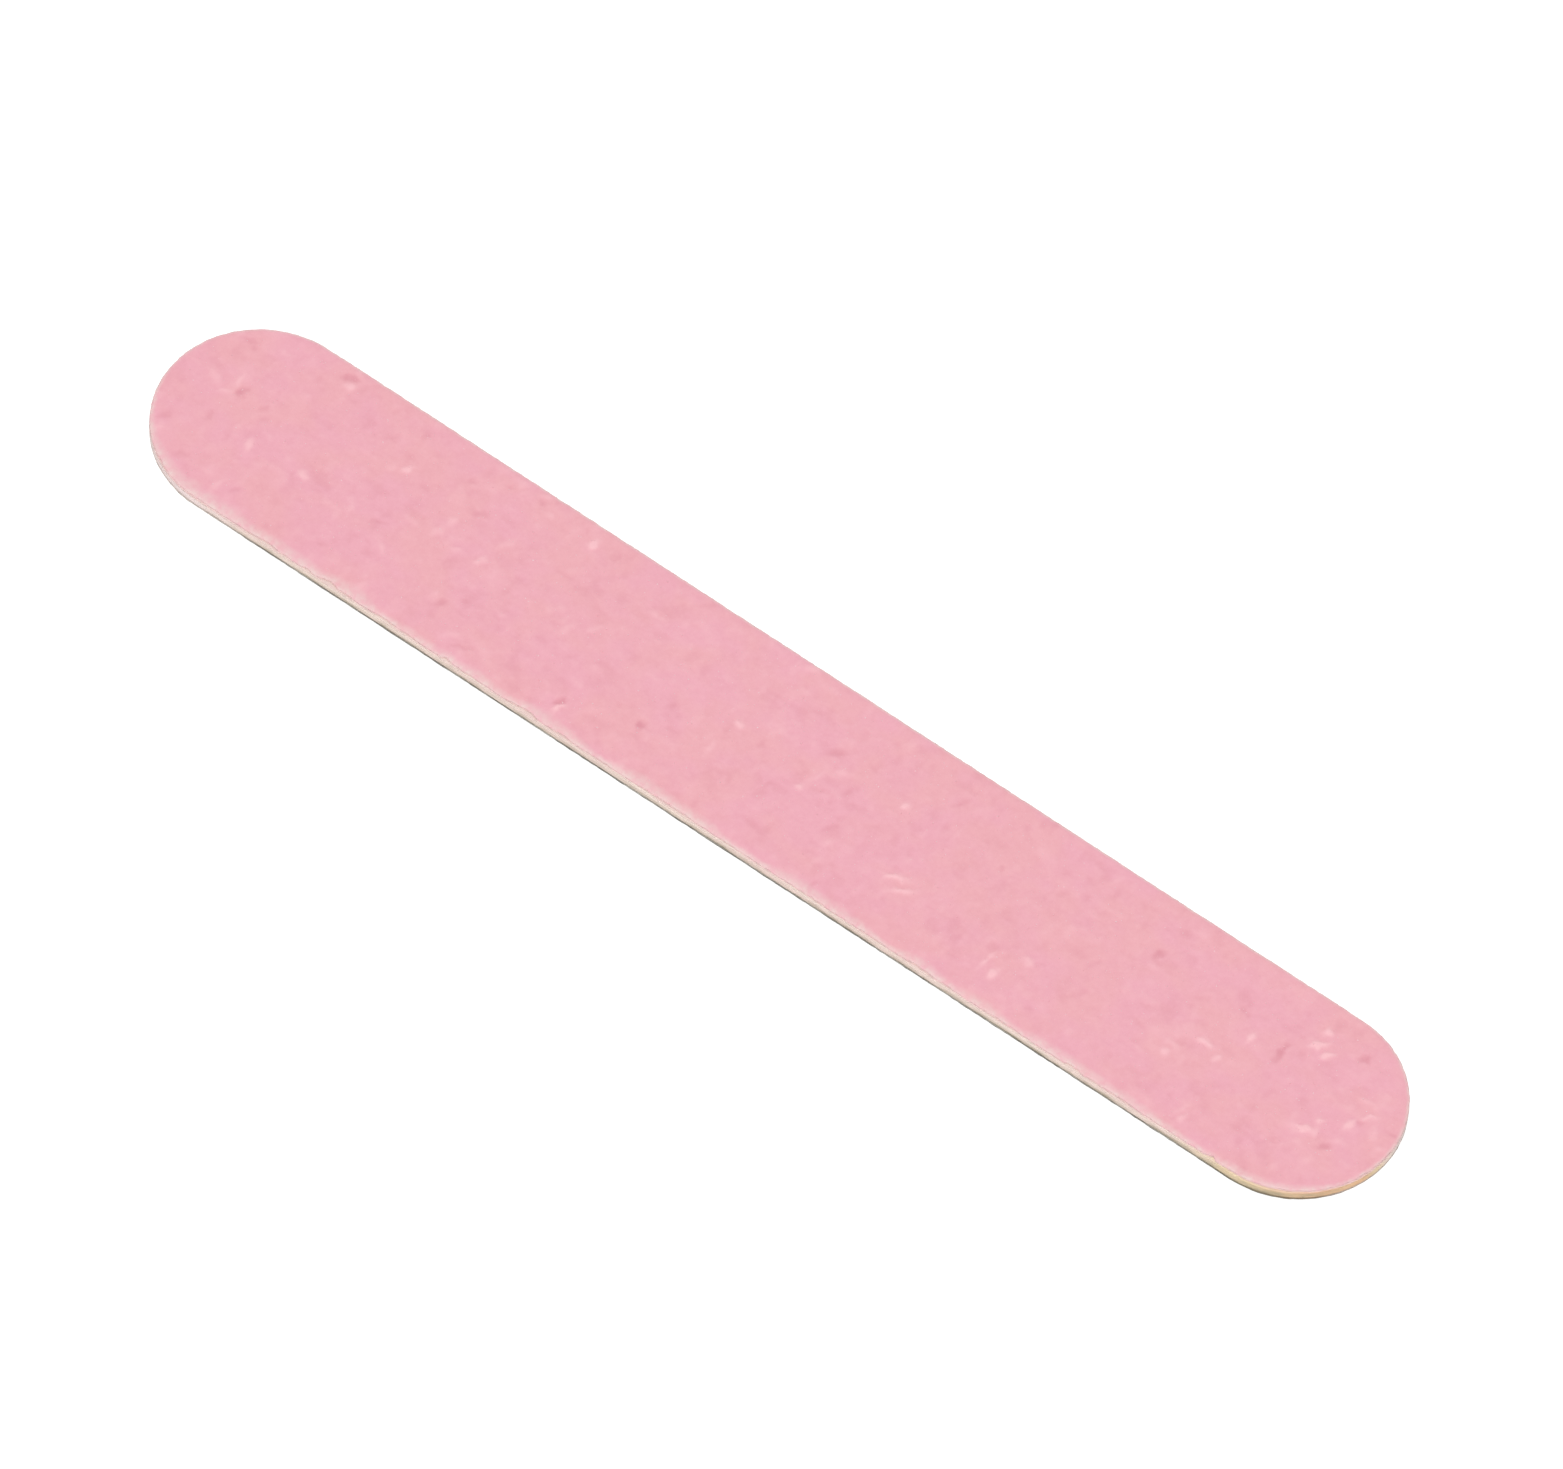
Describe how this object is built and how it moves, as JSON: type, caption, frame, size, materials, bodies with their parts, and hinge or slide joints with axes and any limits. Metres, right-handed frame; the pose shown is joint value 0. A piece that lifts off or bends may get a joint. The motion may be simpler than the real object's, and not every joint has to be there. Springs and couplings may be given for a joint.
{
  "type": "mini nail file",
  "caption": "Flat double-sided nail file strip with fully rounded ends: a thin wood core with fine abrasive paper glued to both faces.",
  "frame": {"origin": "centre of the lower face's outline, on the plane the file lies on", "axes": "+X along the file, +Y across it, +Z through its thickness from the lower grey face to the upper pink face"},
  "size_m": [0.085, 0.0126, 0.001],
  "materials": {
    "pink_grit": "matte",
    "pink_bond_coat": "satin",
    "backing_paper": "matte",
    "grey_backing_paper": "matte",
    "laminating_glue": "satin",
    "core_wood": "matte",
    "grey_grit": "matte",
    "grey_bond_coat": "satin"
  },
  "bodies": {
    "root": {"lower_abrasive_grit": "grey_grit", "lower_bond_coat": "grey_bond_coat", "lower_backing_paper": "grey_backing_paper", "lower_glue_film": "laminating_glue", "wood_core": "core_wood", "upper_glue_film": "laminating_glue", "upper_backing_paper": "backing_paper", "upper_bond_coat": "pink_bond_coat", "upper_abrasive_grit": "pink_grit"}
  },
  "joints": []
}
